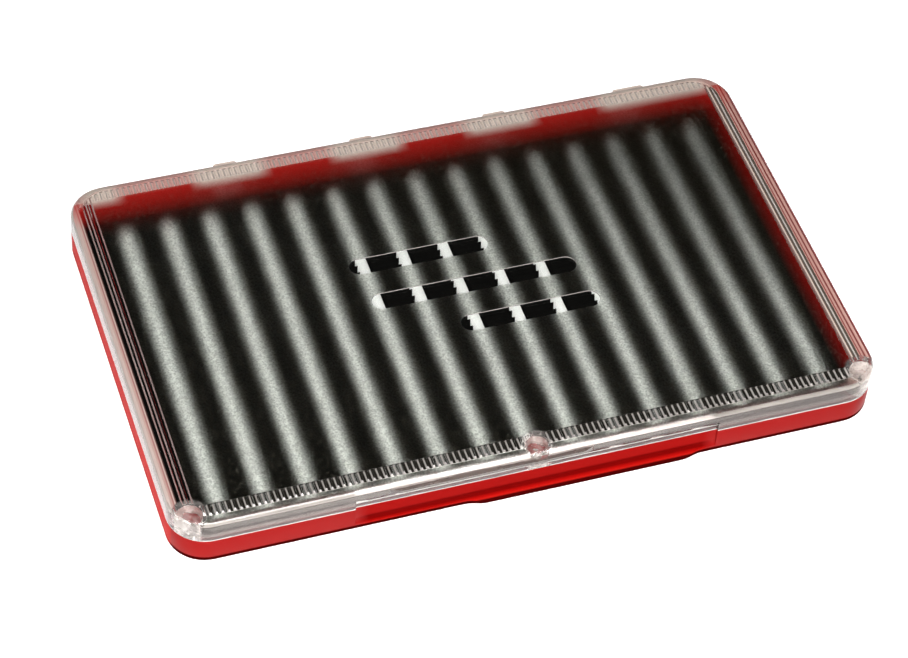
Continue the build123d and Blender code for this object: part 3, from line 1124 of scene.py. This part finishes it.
# %% Drawn wire
def drawn_steel():
    """Bright wire with the lines of its drawing die."""
    bench = finish_bench("drawn_steel")
    lines = bench.stretched_noise((40.0, 4000.0, 4000.0), 3.0, 0.6)
    return bench.surface(bench.add("ShaderNodeBsdfPrincipled", None, {
        "Base Color": bench.blend(lines, (0.52, 0.52, 0.53, 1), (0.70, 0.69, 0.68, 1)),
        "Metallic": 1.0,
        "Roughness": bench.between(lines, 0.3, 0.7, 0.25, 0.42),
        "Normal": bench.bump(lines, 0.01 * MM, 0.4),
    }))


steel = drawn_steel()
pins = [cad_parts[name] for name in sorted(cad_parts) if name.startswith("hinge_pin")]
for pin in pins:
    pin.data.materials.clear()
    pin.data.materials.append(steel)
print("pins:", len(pins), "materials:", len(bpy.data.materials))

# %% [markdown]
# ## Who moves with whom
# The lid turns on its pins, and everything else stays with the tray.  Each new piece could be
# parented by hand, but the frame already knows both bodies, so a piece rides on one of them
# and hides the plain node that it stands for.

# %% The two mouldings
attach(lid, "lid")
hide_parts("lid")
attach(tray, "tray")
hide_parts("base_tray")
print("mouldings:", lid.name, tray.name)

# %% The foam
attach(sheet, "tray")
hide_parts("foam_sheet")
for rib, node in zip(ribs, rib_nodes):
    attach(rib, "tray")
    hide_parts(node)
print("ribs on the tray:", len(ribs))

# %% [markdown]
# ## The floor
# The box stands on plain pale paper.  A white sheet under lamps would come out grey near its
# edges, so the floor gives off a little light of its own.

# %% Pale paper
FLOOR_RADIUS = 4.0
FLOOR_GLOW = 0.25
bpy.ops.mesh.primitive_circle_add(vertices=96, radius=FLOOR_RADIUS, fill_type="NGON", location=(0, 0, 0))
floor = bpy.context.object
floor.name = "floor"
paper = finish_bench("pale_floor")
floor.data.materials.append(paper.surface(paper.add("ShaderNodeBsdfPrincipled", None, {
    "Base Color": paper.blend(paper.noise(30.0, 2.0, 0.5), (0.90, 0.90, 0.90, 1), (0.92, 0.92, 0.92, 1)),
    "Roughness": 0.9,
    "Specular IOR Level": 0.1,
    "Emission Color": (1.0, 1.0, 1.0, 1),
    "Emission Strength": FLOOR_GLOW,
})))
print("floor:", 2 * FLOOR_RADIUS, "m across")

# %% [markdown]
# ## The sky
# A plain white sky would light everything softly, but the frosted top would mirror it and go
# milky.  So the sky that lights the box is bright at the horizon only and dim overhead, and
# the sky that is seen behind it stays plain.

# %% Bright low down, dim overhead
SKY_SEEN = 1.0
HORIZON_LIGHT = 0.9
ZENITH_LIGHT = 0.03
HORIZON_END = 0.12
ZENITH_START = 0.36
world = bpy.data.worlds.new("studio")
bpy.context.scene.world = world
sky = Bench(world)
upward = sky.add("ShaderNodeTexCoord", out="Generated")
upward = sky.add("ShaderNodeSeparateXYZ", None, {"Vector": upward}, out="Z")
lit = sky.add("ShaderNodeBackground", None, {
    "Color": (0.97, 0.98, 1.0, 1),
    "Strength": sky.between(upward, HORIZON_END, ZENITH_START, HORIZON_LIGHT, ZENITH_LIGHT),
})
seen = sky.add("ShaderNodeBackground", None, {"Strength": SKY_SEEN})
seen_ray = sky.add("ShaderNodeLightPath", out="Is Camera Ray")
sky.surface(layered(sky, seen_ray, lit, seen), "ShaderNodeOutputWorld")
print("sky nodes:", len(sky.tree.nodes))

# %% [markdown]
# ## The lamps
# One large soft lamp stands high in front, and a softer one at each side.  Small lamps would
# draw hard shadows of the ribs through the lid.  A lamp is turned by aiming its -Z axis at a
# point, which is easier to set than three angles.


# %% Three soft lamps
def soft_lamp(name, place, target, size, watts):
    """A rectangular area lamp that faces a point."""
    data = bpy.data.lights.new(name, "AREA")
    data.shape = "RECTANGLE"
    data.size, data.size_y = size
    data.energy = watts
    lamp = bpy.data.objects.new(name, data)
    lamp.location = place
    lamp.rotation_mode = "QUATERNION"
    lamp.rotation_quaternion = (Vector(target) - Vector(place)).to_track_quat("-Z", "Y")
    bpy.context.scene.collection.objects.link(lamp)
    print(name, "watts:", watts)


soft_lamp("key_lamp", (-0.08, -0.36, 0.46), (0, -0.17, 0), (0.50, 0.36), 8.0)
soft_lamp("left_lamp", (-1.3, -0.2, 0.6), (0, 0, 0), (0.7, 0.7), 9.0)
soft_lamp("right_lamp", (1.3, 0.0, 0.7), (0, 0, 0), (0.7, 0.7), 1.0)

# %% [markdown]
# ## The camera
# The camera looks down on the box from the front left, through a long lens, so that the far
# edge stays almost as wide as the near one.  Three angles could turn it, but it is easier to
# aim at a point near the box's middle and then to roll about the line of sight.

# %% Place, aim and roll
CAMERA_PLACE = Vector((-199.64, -492.71, 588.93)) * MM
CAMERA_AIM = Vector((-3.38, -1.90, 0.0)) * MM
CAMERA_ROLL = radians(5.017)
CAMERA_LENS = 119.88
camera_data = bpy.data.cameras.new("camera")
camera_data.lens = CAMERA_LENS
camera_data.sensor_width = 36.0
camera_data.clip_start, camera_data.clip_end = 0.01, 20.0
camera = bpy.data.objects.new("camera", camera_data)
camera.location = CAMERA_PLACE
camera.rotation_mode = "QUATERNION"
level = (CAMERA_AIM - CAMERA_PLACE).normalized().to_track_quat("-Z", "Y")
camera.rotation_quaternion = level @ Matrix.Rotation(CAMERA_ROLL, 3, "Z").to_quaternion()
bpy.context.scene.collection.objects.link(camera)
bpy.context.scene.camera = camera
print("camera distance in mm:", round((CAMERA_AIM - CAMERA_PLACE).length / MM, 1))

# %% [markdown]
# ## Render manners
# Clear plastic needs more bounces than other things, or its rims go black.  Light that glass
# bunches up takes long to settle and adds little here, so it is switched off.  A gamma under
# one keeps the blacks of the foam deep while the floor stays white.

# %% Bounces and view
scene = bpy.context.scene
scene.view_settings.view_transform = "Standard"
scene.view_settings.look = "None"
scene.view_settings.gamma = 0.85
scene.cycles.max_bounces = 16
scene.cycles.transmission_bounces = 14
scene.cycles.transparent_max_bounces = 24
scene.cycles.caustics_refractive = False
scene.cycles.caustics_reflective = False
print("bounces:", scene.cycles.max_bounces, "gamma:", round(scene.view_settings.gamma, 2))
